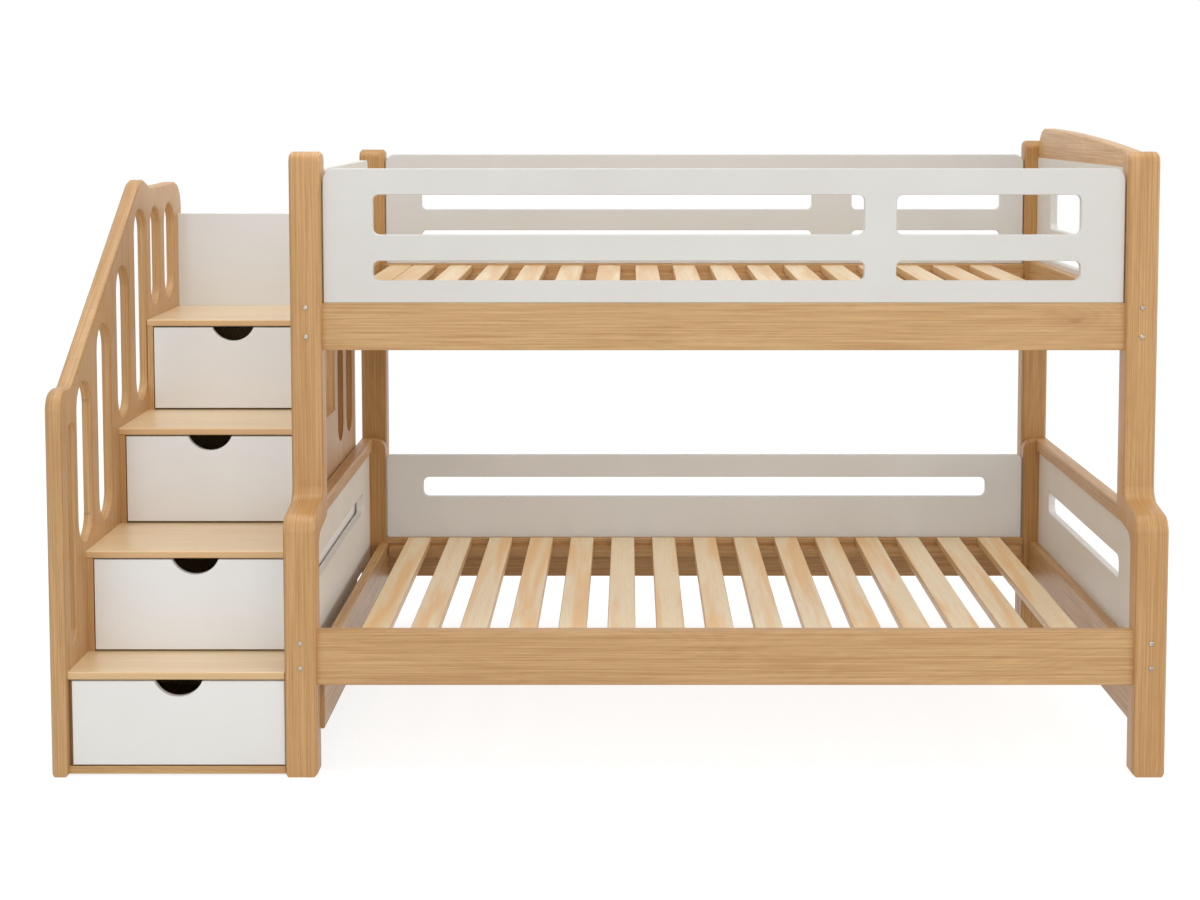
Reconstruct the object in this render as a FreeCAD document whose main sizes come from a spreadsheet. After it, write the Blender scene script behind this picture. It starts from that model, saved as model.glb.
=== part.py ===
import FreeCAD, Part
import math
import os
import re

import Sketcher

# Bunk bed with a full-length lower bed, a narrower upper bed and a flight of four storage stairs
# at its left end. Each step holds one sliding drawer. Sizes are in millimetres.
#
# Frame: X runs along the bed, Y from the front (the side one climbs in from) to the wall side,
# Z up. All outlines are drawn with Y = 0 on the front face of the lower front legs. Every piece is
# then moved by half of the overall depth, so that the origin ends on the floor under the middle.

doc = FreeCAD.newDocument("bunk_bed_with_storage_stairs")
sheet = doc.addObject("Spreadsheet::Sheet", "Size")

DRIVING_SIZES = (
    # whole object
    ("overall_long", 2734), ("overall_deep", 1587), ("wood_ease", 3), ("post_ease", 7),
    ("railing_ease", 6), ("panel_ease", 2),
    # posts: square-cut timber whose lower half stands further forward than its upper half
    ("post_wide", 78), ("post_deep", 76), ("rail_long", 2004), ("set_back", 150),
    ("front_post_top", 1532), ("rear_post_top_left", 1512), ("rear_post_top_right", 1540),
    ("bend_front_low", 645), ("bend_front_high", 668),
    ("bend_rear_low", 583), ("bend_rear_high", 606),
    ("bend_out_round", 45), ("bend_in_round", 35), ("bend_back_in_round", 35),
    ("bend_back_out_round", 32), ("post_top_round", 26),
    ("rear_post_front", 1511), ("leg_deep", 40), ("leg_top_round", 32),
    # long rails with their tongues, which are let into the posts
    ("rail_thick", 38), ("rail_inset", 20), ("tongue_thick", 24), ("tongue_long", 50),
    ("lower_rail_low", 225), ("lower_rail_high", 360),
    ("upper_rail_low", 1036), ("upper_rail_high", 1155),
    ("lower_back_rail_low", 170), ("lower_back_rail_high", 292), ("upper_back_rail_front", 1520),
    # slats and the ledgers they lie on
    ("slat_thick", 24), ("ledger_wide", 36), ("ledger_tall", 30), ("ledger_short", 12),
    ("lower_slat_top", 294), ("lower_slat_wide", 73), ("lower_slat_pitch", 128),
    ("lower_slat_count", 15),
    ("upper_slat_top", 1150), ("upper_slat_wide", 71), ("upper_slat_pitch", 116.5),
    ("upper_slat_count", 16), ("upper_slat_start", -629), ("upper_slat_first", -702),
    ("slat_gap", 2),
    # ends of the lower bed
    ("end_recess", 40), ("end_rail_recess", 16), ("panel_thick", 22),
    ("lower_end_rail_low", 100), ("lower_end_rail_high", 280), ("lower_end_rail_thick", 28),
    ("lower_end_rail_recess_left", -9), ("lower_end_rail_recess_right", 22),
    ("lower_panel_recess", 50), ("lower_end_panel_low", 230), ("lower_cap_low", 570),
    ("lower_slot_front", 400), ("lower_slot_rear", 1320), ("lower_slot_low", 405),
    ("lower_slot_high", 465), ("slot_round", 20), ("cap_ease", 5),
    # back panel of the lower bed
    ("back_panel_front", 1483), ("back_panel_thick", 20), ("back_panel_high", 554),
    ("back_panel_round", 16),
    ("back_slot_left", -597), ("back_slot_right", 1173), ("back_slot_low", 422),
    ("back_slot_high", 484),
    # guards of the upper bed
    ("guard_front", 172), ("guard_gap", 3), ("guard_high", 1490),
    ("guard_round", 28), ("guard_slot_round", 16),
    ("guard_upper_slot_low", 1325), ("guard_upper_slot_high", 1425),
    ("guard_lower_slot_low", 1210), ("guard_lower_slot_high", 1260),
    ("front_slot_left", -588), ("front_slot_middle_left", 638),
    ("front_slot_middle_right", 718), ("front_slot_right", 1177),
    ("rear_guard_front", 1522), ("rear_guard_high", 1497),
    ("rear_slot_left", -600), ("rear_slot_middle_left", 624),
    ("rear_slot_middle_right", 748), ("rear_slot_right", 1214),
    # ends of the upper bed
    ("upper_end_rail_high", 1165), ("end_guard_rear", 1052), ("end_guard_low", 1048),
    ("end_guard_round", 12), ("upper_cap_low", 1488), ("upper_cap_front", 1522),
    ("upper_cap_high", 1580), ("upper_cap_rear_round", 84), ("upper_cap_arch_radius", 18800),
    ("end_slot_front", 392), ("end_slot_rear", 1312),
    ("end_lower_slot_low", 1180), ("end_lower_slot_high", 1238),
    ("end_upper_slot_low", 1276), ("end_upper_slot_high", 1402),
    # railing at the outer side of the stairs
    ("railing_thick", 40), ("railing_rear", 1397), ("railing_web", 24), ("railing_rim", 42),
    ("railing_crest_rim", 50), ("railing_front_high", 957), ("railing_knee", 105),
    ("railing_knee_high", 953),
    ("railing_crest", 884), ("railing_crest_high", 1448), ("railing_dip", 1000),
    ("railing_dip_high", 1413), ("railing_top", 1420),
    ("railing_front_round", 52), ("railing_knee_round", 70), ("railing_crest_round", 105),
    ("railing_dip_round", 150), ("railing_rear_round", 82), ("railing_recess_low", 190),
    # stairs
    ("rise", 259.5), ("tread_thick", 19), ("tread_ease", 5),
    ("tread_front_one", 12), ("tread_front_two", 210), ("tread_front_three", 570),
    ("tread_front_four", 918), ("stair_rear", 1350), ("side_thick", 16),
    ("bed_board_thick", 46), ("overlay_gap", 2),
    ("bed_board_slot_margin", 70), ("bed_board_joint", 600),
    ("stair_back_thick", 16), ("stair_back_high", 1321),
    ("base_low", 5), ("base_high", 24), ("base_thick", 16),
    # drawers
    ("front_thick", 18), ("face_step", 2), ("drawer_under", 4.5), ("drawer_over", 3.5),
    ("first_drawer_low", 27), ("first_drawer_inset", 9),
    ("inset_gap", 2), ("notch_wide", 118), ("notch_deep", 39),
    ("box_thick", 12), ("box_under", 14), ("box_over", 44), ("bottom_thick", 6),
    ("groove_deep", 6), ("groove_up", 10),
    ("box_long_one", 620), ("box_long_two", 620), ("box_long_three", 560), ("box_long_four", 400),
    # drawer slides: a steel channel on the cabinet, a bar inside it on the drawer
    ("slide_room", 13), ("channel_tall", 42), ("channel_wall", 2), ("channel_deep", 11),
    ("bar_play", 1), ("slide_up", 55),
)

for row, (alias, number) in enumerate(DRIVING_SIZES, start=1):
    sheet.set("A%d" % row, alias)
    sheet.set("B%d" % row, "%g" % number)
    sheet.setAlias("B%d" % row, alias)
doc.recompute()

ALIASES = {alias for alias, number in DRIVING_SIZES}
WORD = re.compile(r"[A-Za-z_]\w*")
TOLERANCE = 0.05
SIDEWAYS = 0.999
LEAST_CUT = 1
RIM_MARGIN = 8
SLOT_FULLNESS = 0.97
MIDDLE = "overall_deep / 2"

# (origin plane, sense of its normal, index of the axis it stands on)
PLANES = {
    "YZ": ("YZ_Plane", 1, 0),
    "XZ": ("XZ_Plane", -1, 1),
    "XY": ("XY_Plane", 1, 2),
}

nodes = []


# ---------------------------------------------------------------------------- helpers


def formula(text):
    """Turns words such as post_wide into references to the cells of the sheet."""
    return WORD.sub(lambda word: "Size." + word.group() if word.group() in ALIASES else word.group(),
                    str(text))


def value(text):
    return float(sheet.evalExpression(formula(text)))


def keep(piece, name):
    """Marks a piece as one of the separate parts of the bed."""
    piece.Label = name
    nodes.append(piece)
    return piece


def centre_on_floor(piece):
    piece.setExpression("Placement.Base.y", formula("-(%s)" % MIDDLE))


def role_of(body, role):
    return [feature for feature in body.Origin.OriginFeatures if feature.Role == role][0]


def draw_polygon(sketch, points):
    """Adds a closed outline whose corners are held at bound distances from the origin.

    A corner with a third entry is followed by an arc of that radius instead of a straight side.
    The arc turns clockwise, so its own first end is the later of the two corners.
    """
    start = sketch.GeometryCount
    spots = [FreeCAD.Vector(value(point[0]), value(point[1]), 0) for point in points]
    ends = []
    for index, spot in enumerate(spots):
        following = spots[(index + 1) % len(spots)]
        if len(points[index]) > 2:
            sketch.addGeometry(clockwise_arc(spot, following, value(points[index][2])), False)
            ends.append((2, 1))
        else:
            sketch.addGeometry(Part.LineSegment(spot, following), False)
            ends.append((1, 2))
    for index in range(len(spots)):
        following = (index + 1) % len(spots)
        sketch.addConstraint(Sketcher.Constraint("Coincident", start + index, ends[index][1],
                                                 start + following, ends[following][0]))
    for index, point in enumerate(points):
        bind_point(sketch, start + index, ends[index][0], point[0], point[1])
        if len(point) > 2:
            bind_radius(sketch, start + index, point[2])


def clockwise_arc(first, last, radius):
    """The short arc from first to last that bulges to the left of the way there."""
    chord = last - first
    rise = math.sqrt(radius ** 2 - (chord.Length / 2) ** 2)
    aside = FreeCAD.Vector(chord.y, -chord.x, 0).normalize()
    centre = first + chord / 2 + aside * rise
    circle = Part.Circle(centre, FreeCAD.Vector(0, 0, 1), radius)
    return Part.ArcOfCircle(circle, circle.parameter(last), circle.parameter(first))


def bind_point(sketch, geometry, position, u, v):
    for kind, text in (("DistanceX", u), ("DistanceY", v)):
        rule = Sketcher.Constraint(kind, -1, 1, geometry, position, value(text))
        number = sketch.addConstraint(rule)
        label = "%s_%d_%d" % (kind[-1].lower(), geometry, position)
        sketch.renameConstraint(number, label)
        sketch.setExpression("Constraints." + label, formula(text))


def draw_circle(sketch, u, v, radius):
    geometry = sketch.GeometryCount
    centre = FreeCAD.Vector(value(u), value(v), 0)
    sketch.addGeometry(Part.Circle(centre, FreeCAD.Vector(0, 0, 1), value(radius)), False)
    bind_point(sketch, geometry, 3, u, v)
    bind_radius(sketch, geometry, radius)


def bind_radius(sketch, geometry, radius):
    number = sketch.addConstraint(Sketcher.Constraint("Radius", geometry, value(radius)))
    sketch.renameConstraint(number, "radius_%d" % geometry)
    sketch.setExpression("Constraints.radius_%d" % geometry, formula(radius))


def flat_sketch(body, tag, plane, level, loops):
    """A sketch on one of the body's origin planes, lifted to the given level."""
    role, sense, axis = PLANES[plane]
    sketch = body.newObject("Sketcher::SketchObject", tag)
    sketch.AttachmentSupport = (role_of(body, role), [""])
    sketch.MapMode = "FlatFace"
    sketch.setExpression("AttachmentOffset.Base.z", formula("%d * (%s)" % (sense, level)))
    for loop in loops:
        if loop[0] == "circle":
            draw_circle(sketch, *loop[1:])
        else:
            draw_polygon(sketch, loop)
    return sketch


def add_pad(body, tag, plane, low, high, *loops):
    sense = PLANES[plane][1]
    sketch = flat_sketch(body, tag + "_sketch", plane, low if sense > 0 else high, loops)
    pad = body.newObject("PartDesign::Pad", tag + "_pad")
    pad.Profile = sketch
    pad.setExpression("Length", formula("(%s) - (%s)" % (high, low)))
    doc.recompute()
    return pad


def member(tag, plane, low, high, *loops):
    """A body made of one outline, padded from the level low to the level high."""
    body = doc.addObject("PartDesign::Body", tag)
    centre_on_floor(body)
    add_pad(body, tag, plane, low, high, *loops)
    return body


def slab(name, plane, low, high, *loops):
    """A member that is one of the separate parts of the bed."""
    return keep(member(name, plane, low, high, *loops), name)


def cut(body, tag, plane, low, high, *loops):
    """Removes the outlines from the body between two levels."""
    sense = PLANES[plane][1]
    before = body.Shape.Volume
    sketch = flat_sketch(body, tag + "_sketch", plane, high if sense > 0 else low, loops)
    pocket = body.newObject("PartDesign::Pocket", tag + "_pocket")
    pocket.Profile = sketch
    pocket.setExpression("Length", formula("(%s) - (%s)" % (high, low)))
    doc.recompute()
    if body.Shape.Volume > before - LEAST_CUT:
        raise RuntimeError("%s removes nothing from %s" % (tag, body.Label))
    return pocket


def box_loop(left, right, low, high):
    return ((left, low), (right, low), (right, high), (left, high))


def ends_and_middle(edge):
    middle = edge.valueAt((edge.FirstParameter + edge.LastParameter) / 2)
    return [vertex.Point for vertex in edge.Vertexes] + [middle]


def dress_where(body, kind, tag, size, wanted):
    """Rounds or bevels those edges of the body for which wanted(edge, points) is true."""
    base = body.Tip
    names = []
    for number, edge in enumerate(base.Shape.Edges, start=1):
        if wanted(edge, ends_and_middle(edge)):
            names.append("Edge%d" % number)
    if not names:
        raise RuntimeError("%s finds no edge on %s" % (tag, body.Label))
    dressing = body.newObject("PartDesign::" + kind, tag)
    dressing.Base = (base, names)
    dressing.setExpression("Radius" if kind == "Fillet" else "Size", formula(size))
    doc.recompute()
    return dressing


def is_straight_along(edge, axis):
    if edge.Curve.TypeId != "Part::GeomLine":
        return False
    return abs(edge.tangentAt(edge.FirstParameter)[axis]) > SIDEWAYS


def round_corners(body, tag, plane, radius, spots):
    """Rounds the corners that stand on the plane of the outline at the given spots."""
    axis = PLANES[plane][2]
    others = [index for index in range(3) if index != axis]
    wanted_spots = [(value(u), value(v)) for u, v in spots]

    def stands_at_spot(edge, points):
        if not is_straight_along(edge, axis):
            return False
        found = points[-1]
        return any(abs(found[others[0]] - u) < TOLERANCE and abs(found[others[1]] - v) < TOLERANCE
                   for u, v in wanted_spots)

    dress_where(body, "Fillet", tag, radius, stands_at_spot)


def ease_rims(body, tag, plane, size, *levels):
    """Bevels every edge that lies in one of the flat faces at the given levels."""
    axis = PLANES[plane][2]
    heights = [value(level) for level in levels]

    def lies_in_face(edge, points):
        return any(all(abs(point[axis] - height) < TOLERANCE for point in points)
                   for height in heights)

    dress_where(body, "Chamfer", tag, size, lies_in_face)


def ease_along(body, tag, axis, size, accept=None, kind="Chamfer"):
    """Bevels or rounds the straight edges that run along one axis."""

    def runs_along(edge, points):
        if not is_straight_along(edge, axis):
            return False
        return accept is None or accept(points[-1])

    dress_where(body, kind, tag, size, runs_along)


def repeat(body, tag, source, role, pitch, count):
    """Repeats a feature along one of the body's axes."""
    pattern = body.newObject("PartDesign::LinearPattern", tag)
    pattern.Originals = [source]
    pattern.Direction = (role_of(body, role), [""])
    pattern.setExpression("Length", formula("(%s) * ((%s) - 1)" % (pitch, count)))
    pattern.setExpression("Occurrences", formula(count))
    body.Tip = pattern
    doc.recompute()


def block(tag, x_low, x_high, y_low, y_high, z_low, z_high):
    """A plain rectangular bar."""
    bar = doc.addObject("Part::Box", tag)
    bar.setExpression("Length", formula("(%s) - (%s)" % (x_high, x_low)))
    bar.setExpression("Width", formula("(%s) - (%s)" % (y_high, y_low)))
    bar.setExpression("Height", formula("(%s) - (%s)" % (z_high, z_low)))
    bar.setExpression("Placement.Base.x", formula(x_low))
    bar.setExpression("Placement.Base.y", formula("(%s) - %s" % (y_low, MIDDLE)))
    bar.setExpression("Placement.Base.z", formula(z_low))
    return bar


def group(name, members):
    """Several like pieces that count as one part, each of them a solid of its own."""
    bundle = doc.addObject("Part::Compound", name)
    bundle.Links = members
    doc.recompute()
    return keep(bundle, name)


# ---------------------------------------------------------------------------- places

RIGHT_POST_IN = "overall_long / 2 - post_wide"
LEFT_POST_IN = "overall_long / 2 - post_wide - rail_long"
LEFT_POST_OUT = "overall_long / 2 - 2 * post_wide - rail_long"
RAILING_OUT = "-overall_long / 2"
RAILING_IN = "-overall_long / 2 + railing_thick"
STAIR_RIGHT = LEFT_POST_OUT
BED_BOARD_LEFT = STAIR_RIGHT + " - bed_board_thick"
CABINET_RIGHT = BED_BOARD_LEFT + " - side_thick"
CABINET_LEFT = "-overall_long / 2 + railing_thick + side_thick"
UPPER_POST_BACK = "set_back + post_deep"
REAR_GUARD_BACK = "rear_guard_front + panel_thick"
LEG_FRONT = "rear_post_front - leg_deep"
BACK_RAIL_FRONT = LEG_FRONT + " + (leg_deep - rail_thick) / 2"

# (name, inner face, the sign that leads from the inner face outwards)
SIDES = (
    ("left", LEFT_POST_IN, -1),
    ("right", RIGHT_POST_IN, 1),
)


def across(inner, sign, near, far):
    """The low and high X of something that lies near to far outwards of a post's inner face."""
    near_x = "%s + %d * (%s)" % (inner, sign, near)
    far_x = "%s + %d * (%s)" % (inner, sign, far)
    return (near_x, far_x) if sign > 0 else (far_x, near_x)


# ---------------------------------------------------------------------------- bed posts


def front_post(side, inner, sign):
    """A post whose side view is an S: the foot stands forward, the upper half is set back."""
    name = "front_post_" + side
    low, high = across(inner, sign, "0", "post_wide")
    profile = (
        ("0", "0"), ("0", "bend_front_low"), ("set_back", "bend_front_high"),
        ("set_back", "front_post_top"), (UPPER_POST_BACK, "front_post_top"),
        (UPPER_POST_BACK, "bend_rear_high"), ("post_deep", "bend_rear_low"), ("post_deep", "0"),
    )
    post = slab(name, "YZ", low, high, profile)
    round_corners(post, name + "_shoulder", "YZ", "bend_out_round", (profile[1],))
    round_corners(post, name + "_neck", "YZ", "bend_in_round", (profile[2],))
    round_corners(post, name + "_back_neck", "YZ", "bend_back_in_round", (profile[6],))
    round_corners(post, name + "_back_shoulder", "YZ", "bend_back_out_round", (profile[5],))
    round_corners(post, name + "_crown", "YZ", "post_top_round", profile[3:5])
    ease_rims(post, name + "_eased", "YZ", "post_ease", low, high)
    mortise(post, name + "_lower", inner, sign, "rail_inset", "lower_rail_low", "lower_rail_high")
    mortise(post, name + "_upper", inner, sign, "set_back + rail_inset", "upper_rail_low",
            "upper_rail_high")


def tongue_faces(rail_front):
    """The front and back of the tongue, which sits in the middle of the rail's thickness."""
    return ("%s + (rail_thick - tongue_thick) / 2" % rail_front,
            "%s + (rail_thick + tongue_thick) / 2" % rail_front)


def mortise(post, tag, inner, sign, rail_front, low, high):
    """The pocket in a post's inner face that takes a rail's tongue."""
    tongue_front, tongue_back = tongue_faces(rail_front)
    near, far = across(inner, sign, "0", "tongue_long")
    cut(post, tag + "_mortise", "YZ", near, far, box_loop(tongue_front, tongue_back, low, high))


def rear_post(side, inner, sign):
    """A straight post at the wall side, rounded over at its top."""
    name = "rear_post_" + side
    top = "rear_post_top_" + side
    low, high = across(inner, sign, "0", "post_wide")
    profile = box_loop("rear_post_front", "overall_deep", "0", top)
    post = slab(name, "YZ", low, high, profile)
    round_corners(post, name + "_crown", "YZ", "post_top_round", profile[2:4])
    ease_rims(post, name + "_eased", "YZ", "post_ease", low, high)
    mortise(post, name + "_upper", inner, sign, "upper_back_rail_front", "upper_rail_low",
            "upper_rail_high")


def rear_leg(side, inner, sign):
    """The short leg of the lower bed that stands in front of a rear post."""
    name = "lower_rear_leg_" + side
    low, high = across(inner, sign, "0", "post_wide")
    profile = box_loop(LEG_FRONT, "rear_post_front", "0", "bend_rear_high")
    leg = slab(name, "YZ", low, high, profile)
    face_x = value(inner)
    top_z = value("bend_rear_high")
    ease_along(leg, name + "_crown", 1, "leg_top_round",
               accept=lambda middle: abs(middle.x - face_x) + abs(middle.z - top_z) < TOLERANCE,
               kind="Fillet")
    ease_rims(leg, name + "_eased", "YZ", "wood_ease", low, high)
    mortise(leg, name, inner, sign, BACK_RAIL_FRONT, "lower_back_rail_low",
            "lower_back_rail_high")


# ---------------------------------------------------------------------------- bed rails and slats


def long_rail(name, front, low, high):
    """A rail along the bed with a tongue at each end."""
    back = "%s + rail_thick" % front
    rail = slab(name, "XZ", front, back, box_loop(LEFT_POST_IN, RIGHT_POST_IN, low, high))
    ease_along(rail, name + "_eased", 0, "wood_ease")
    tongue_front, tongue_back = tongue_faces(front)
    for side, inner, sign in SIDES:
        near, far = across(inner, sign, "0", "tongue_long")
        tag = "%s_%s_tongue" % (name, side)
        add_pad(rail, tag, "XZ", tongue_front, tongue_back, box_loop(near, far, low, high))


def slat_row(name, front, back, top, wide, pitch, count, start, extra=None):
    """Separate slats, side by side at one pitch, with eased long edges."""
    low = "%s - slat_thick" % top
    body = slab(name, "XZ", front, back, box_loop(start, "%s + %s" % (start, wide), low, top))
    repeat(body, name + "_row", body.Tip, "X_Axis", pitch, count)
    if extra:
        add_pad(body, name + "_extra", "XZ", front, back,
                box_loop(extra, "%s + %s" % (extra, wide), low, top))
    ease_along(body, name + "_eased", 1, "wood_ease")


def slat_ledgers():
    """Four ledgers, one along the inner face of each long rail."""
    fronts = (
        ("lower_front", "rail_inset + rail_thick", "lower_slat_top"),
        ("lower_rear", "%s - ledger_wide" % BACK_RAIL_FRONT, "lower_slat_top"),
        ("upper_front", "set_back + rail_inset + rail_thick", "upper_slat_top"),
        ("upper_rear", "upper_back_rail_front - ledger_wide", "upper_slat_top"),
    )
    bars = []
    for tag, front, top in fronts:
        bars.append(block("ledger_" + tag, "%s + ledger_short" % LEFT_POST_IN,
                          "%s - ledger_short" % RIGHT_POST_IN, front,
                          "%s + ledger_wide" % front, "%s - slat_thick - ledger_tall" % top,
                          "%s - slat_thick" % top))
    group("slat_ledgers", bars)


# ---------------------------------------------------------------------------- lower bed ends


def lower_end(side, inner, sign):
    """Rail, painted panel and wooden cap between a front post and its rear leg.

    The panel reaches down behind the rail, past the rail's top. The left rail stands a little
    proud of the posts, the right one close in front of its panel.
    """
    recess = "lower_end_rail_recess_" + side
    rail_low_x, rail_high_x = across(inner, sign, recess, recess + " + lower_end_rail_thick")
    name = "lower_end_rail_" + side
    rail = slab(name, "YZ", rail_low_x, rail_high_x,
                box_loop("post_deep", LEG_FRONT, "lower_end_rail_low", "lower_end_rail_high"))
    ease_along(rail, name + "_eased", 1, "wood_ease")

    name = "lower_end_panel_" + side
    panel_low_x, panel_high_x = across(inner, sign, "lower_panel_recess",
                                       "lower_panel_recess + panel_thick")
    panel = end_infill(name, panel_low_x, panel_high_x)
    cut(panel, name + "_above", "YZ", panel_low_x, panel_high_x,
        box_loop("0", "overall_deep", "lower_cap_low", "front_post_top"))
    slot = box_loop("lower_slot_front", "lower_slot_rear", "lower_slot_low", "lower_slot_high")
    cut(panel, name + "_slot", "YZ", panel_low_x, panel_high_x, slot)
    round_corners(panel, name + "_slot_ends", "YZ", "slot_round", slot)
    ease_slot_rims(panel, name + "_eased", panel_low_x, panel_high_x)

    name = "lower_end_cap_" + side
    cap_low_x, cap_high_x = across(inner, sign, "end_recess", "post_wide")
    cap = end_infill(name, cap_low_x, cap_high_x)
    cut(cap, name + "_below", "YZ", cap_low_x, cap_high_x,
        box_loop("0", "overall_deep", "0", "lower_cap_low"))
    top = value("bend_rear_high")
    ease_along(cap, name + "_eased", 1, "cap_ease",
               accept=lambda middle: abs(middle.z - top) < TOLERANCE, kind="Fillet")


def end_infill(name, low, high):
    """Fills the space between a front post's bent back and the rear leg."""
    profile = (
        ("post_deep", "lower_end_panel_low"), ("post_deep", "bend_rear_low"),
        (UPPER_POST_BACK, "bend_rear_high"), (LEG_FRONT, "bend_rear_high"),
        (LEG_FRONT, "lower_end_panel_low"),
    )
    body = slab(name, "YZ", low, high, profile)
    round_corners(body, name + "_neck", "YZ", "bend_back_in_round", (profile[1],))
    return body


def ease_slot_rims(body, tag, low, high):
    """Bevels the rims of the slots in an end panel, but not the panel's own outline."""
    box = body.Tip.Shape.BoundBox
    faces = (value(low), value(high))

    def is_slot_rim(edge, points):
        if not any(all(abs(point.x - face) < TOLERANCE for point in points) for face in faces):
            return False
        return all(box.YMin + RIM_MARGIN < point.y < box.YMax - RIM_MARGIN
                   and box.ZMin + RIM_MARGIN < point.z < box.ZMax - RIM_MARGIN
                   for point in points)

    dress_where(body, "Chamfer", tag, "panel_ease", is_slot_rim)


# ---------------------------------------------------------------------------- painted long panels


def lower_back_panel():
    name = "lower_back_panel"
    back = "back_panel_front + back_panel_thick"
    left = "%s + guard_gap" % LEFT_POST_IN
    right = "%s - guard_gap" % RIGHT_POST_IN
    outline = box_loop(left, right, "lower_back_rail_high", "back_panel_high")
    slot = box_loop("back_slot_left", "back_slot_right", "back_slot_low", "back_slot_high")
    panel = slab(name, "XZ", "back_panel_front", back, outline, slot)
    round_corners(panel, name + "_corners", "XZ", "back_panel_round", outline[2:])
    round_corners(panel, name + "_slot_ends", "XZ", "slot_round", slot)
    ease_rims(panel, name + "_eased", "XZ", "panel_ease", "back_panel_front")


def long_guard(name, front, high, columns):
    """A painted guard board between two posts, pierced by two rows of two slots."""
    back = "%s + panel_thick" % front
    left = "%s + guard_gap" % LEFT_POST_IN
    right = "%s - guard_gap" % RIGHT_POST_IN
    outline = box_loop(left, right, "upper_rail_high", high)
    slots = []
    for slot_left, slot_right in columns:
        for row_name in ("upper", "lower"):
            slots.append(box_loop(slot_left, slot_right, "guard_%s_slot_low" % row_name,
                                  "guard_%s_slot_high" % row_name))
    guard = slab(name, "XZ", front, back, outline, *slots)
    round_corners(guard, name + "_corners", "XZ", "guard_round", outline[2:])
    slot_corners = [corner for slot in slots for corner in slot]
    round_corners(guard, name + "_slot_ends", "XZ", "guard_slot_round", slot_corners)
    ease_rims(guard, name + "_eased", "XZ", "panel_ease", front)


# ---------------------------------------------------------------------------- upper bed ends


def upper_end_rail(side, inner, sign):
    name = "upper_end_rail_" + side
    low, high = across(inner, sign, "end_rail_recess", "end_recess + panel_thick")
    rail = slab(name, "YZ", low, high, box_loop(UPPER_POST_BACK, "rear_post_front",
                                                "upper_rail_low", "upper_end_rail_high"))
    ease_along(rail, name + "_eased", 1, "wood_ease")


def upper_end_guard_left():
    """The guard at the stair end. It stops short of the rear post and so leaves the way in."""
    name = "upper_end_guard_left"
    inner_face = "%s - end_rail_recess" % LEFT_POST_IN
    outer_face = "%s + panel_thick" % inner_face
    outline = box_loop("%s + guard_gap" % UPPER_POST_BACK, "end_guard_rear", "end_guard_low",
                       "guard_high")
    guard = slab(name, "YZ", inner_face, outer_face, outline)
    round_corners(guard, name + "_corners", "YZ", "end_guard_round", outline[1:])
    ease_rims(guard, name + "_eased", "YZ", "panel_ease", inner_face, outer_face)


def upper_end_right():
    """Slotted panel and arched cap at the end away from the stairs."""
    name = "upper_end_panel_right"
    low, high = across(RIGHT_POST_IN, 1, "end_recess", "end_recess + panel_thick")
    outline = box_loop(UPPER_POST_BACK, "rear_post_front", "upper_end_rail_high", "upper_cap_low")
    slots = [box_loop("end_slot_front", "end_slot_rear", "end_%s_slot_low" % row_name,
                      "end_%s_slot_high" % row_name) for row_name in ("lower", "upper")]
    panel = slab(name, "YZ", low, high, outline, *slots)
    round_corners(panel, name + "_slot_ends", "YZ", "slot_round", slots[0] + slots[1])
    ease_slot_rims(panel, name + "_eased", low, high)

    name = "upper_end_cap_right"
    low, high = across(RIGHT_POST_IN, 1, "end_recess", "post_wide")
    profile = (
        (UPPER_POST_BACK, "upper_cap_low"),
        (UPPER_POST_BACK, "upper_cap_front", "upper_cap_arch_radius"),
        ("rear_post_front", "upper_cap_high"), ("rear_post_front", "upper_cap_low"),
    )
    cap = slab(name, "YZ", low, high, profile)
    round_corners(cap, name + "_shoulder", "YZ", "upper_cap_rear_round", (profile[2],))
    underside = value("upper_cap_low")
    front = value(UPPER_POST_BACK)
    faces = (value(low), value(high))

    def is_upper_rim(edge, points):
        in_face = any(all(abs(point.x - face) < TOLERANCE for point in points) for face in faces)
        middle = points[-1]
        return in_face and middle.z > underside + TOLERANCE and middle.y > front + TOLERANCE

    dress_where(cap, "Chamfer", name + "_eased", "cap_ease", is_upper_rim)


# ---------------------------------------------------------------------------- stairs

TREAD_FRONTS = ("tread_front_one", "tread_front_two", "tread_front_three", "tread_front_four")
BOX_LENGTHS = ("box_long_one", "box_long_two", "box_long_three", "box_long_four")

# Slots of the railing: (front, rear, bottom, top) in the side view.
RAILING_SLOTS = (
    (60, 120, 317, 861), (150, 285, 545, 950), (357, 494, 564, 1076), (572, 707, 802, 1211),
    (784, 921, 819, 1354), (981, 1096, 1073, 1354), (1160, 1291, 1080, 1357),
)


def tread_top(number):
    return "%d * rise" % number


def drawer_face(index):
    return "%s + face_step" % TREAD_FRONTS[index]


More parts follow.
